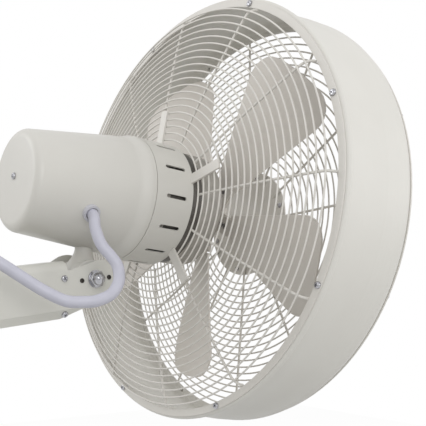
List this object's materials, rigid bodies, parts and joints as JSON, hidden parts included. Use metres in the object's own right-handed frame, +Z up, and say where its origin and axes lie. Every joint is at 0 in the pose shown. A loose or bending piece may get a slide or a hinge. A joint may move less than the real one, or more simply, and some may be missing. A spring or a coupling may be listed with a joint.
{
  "type": "wall fan",
  "caption": "Wall fan: a deep drum with wire guards and paddle blades on a cylindrical motor head that tilts on a box-section wall arm, with a fixed supply cord.",
  "frame": {"origin": "middle of the wall plate's back face, which lies on the wall", "axes": "+Z up, +Y into the wall, so the fan blows towards -Y and its front is seen looking along +Y; +X to the right from the front"},
  "size_m": [0.4999, 0.597, 0.5059],
  "materials": {
    "casing_paint": "satin warm off-white powder coat",
    "arm_paint": "satin warm off-white powder coat",
    "drum_paint": "satin warm off-white powder coat",
    "guard_paint": "satin warm off-white powder coat on wire",
    "blade_paint": "satin warm off-white paint",
    "motor_paint": "dark grey cast end bell",
    "lamination_steel": "varnished laminations",
    "copper": "varnished copper winding",
    "bright_zinc": "bright zinc and chrome plate",
    "plain_steel": "plain steel",
    "dark_steel": "blackened steel",
    "fibre": "pressed fibre",
    "box_plastic": "moulded ABS, fine grain",
    "grommet_plastic": "moulded nylon",
    "cord_sheath": "soft grey PVC sheath",
    "capacitor_case": "drawn aluminium can",
    "dark_plastic": "moulded black plastic"
  },
  "bodies": {
    "wall_arm": {"wall_plate": "arm_paint", "arm_foot": "arm_paint", "foot_screws": "bright_zinc", "arm_shell": "arm_paint", "arm_bottom_cover": "arm_paint", "cover_screws": "bright_zinc", "fork_plates": "plain_steel", "fork_screws": "dark_steel", "friction_washers": "fibre", "pivot_bolt": "bright_zinc", "pivot_washers": "bright_zinc", "acorn_nut": "bright_zinc", "terminal_box": "box_plastic", "terminal_lid": "box_plastic", "lid_screws": "bright_zinc", "wall_gland": "grommet_plastic", "power_cord": "cord_sheath"},
    "head": {"neck": "casing_paint", "neck_nut": "plain_steel", "rear_casing": "casing_paint", "rear_screw": "bright_zinc", "cord_grommet": "grommet_plastic", "vent_ring": "casing_paint", "guard_straps": "guard_paint", "motor_front_bell": "motor_paint", "stator_core": "lamination_steel", "windings": "copper", "motor_rear_bell": "motor_paint", "bearings": "plain_steel", "motor_bolts": "plain_steel", "spacer_sleeves": "plain_steel", "electrics_plate": "plain_steel", "capacitor": "capacitor_case", "terminal_block": "dark_plastic", "drum": "drum_paint", "rear_guard_rim": "guard_paint", "rear_guard_rings": "guard_paint", "rear_guard_spokes": "guard_paint", "rear_rim_screws": "bright_zinc", "rim_nuts": "plain_steel", "front_guard_rim": "guard_paint", "front_guard_rings": "guard_paint", "front_guard_spokes": "guard_paint", "front_centre_disc": "guard_paint", "disc_rivets": "bright_zinc", "front_rim_screws": "bright_zinc"},
    "rotor": {"shaft": "plain_steel", "rotor_core": "lamination_steel", "blade_hub": "blade_paint", "blade_1": "blade_paint", "blade_2": "blade_paint", "blade_3": "blade_paint", "blade_4": "blade_paint", "blade_5": "blade_paint", "blade_rivets": "bright_zinc", "hub_nut": "bright_zinc"}
  },
  "joints": [
    {"name": "head_tilt", "type": "hinge", "parent": "wall_arm", "child": "head", "pos_m": [0, -0.33, 0.00287], "axis": [1, 0, 0], "range_deg": [-15, 30], "deforming": ["power_cord"]},
    {"name": "blade_spin", "type": "hinge", "parent": "head", "child": "rotor", "pos_m": [0, -0.47063, 0.08764], "axis": [0, 0.9945, 0.1045], "continuous": true}
  ]
}
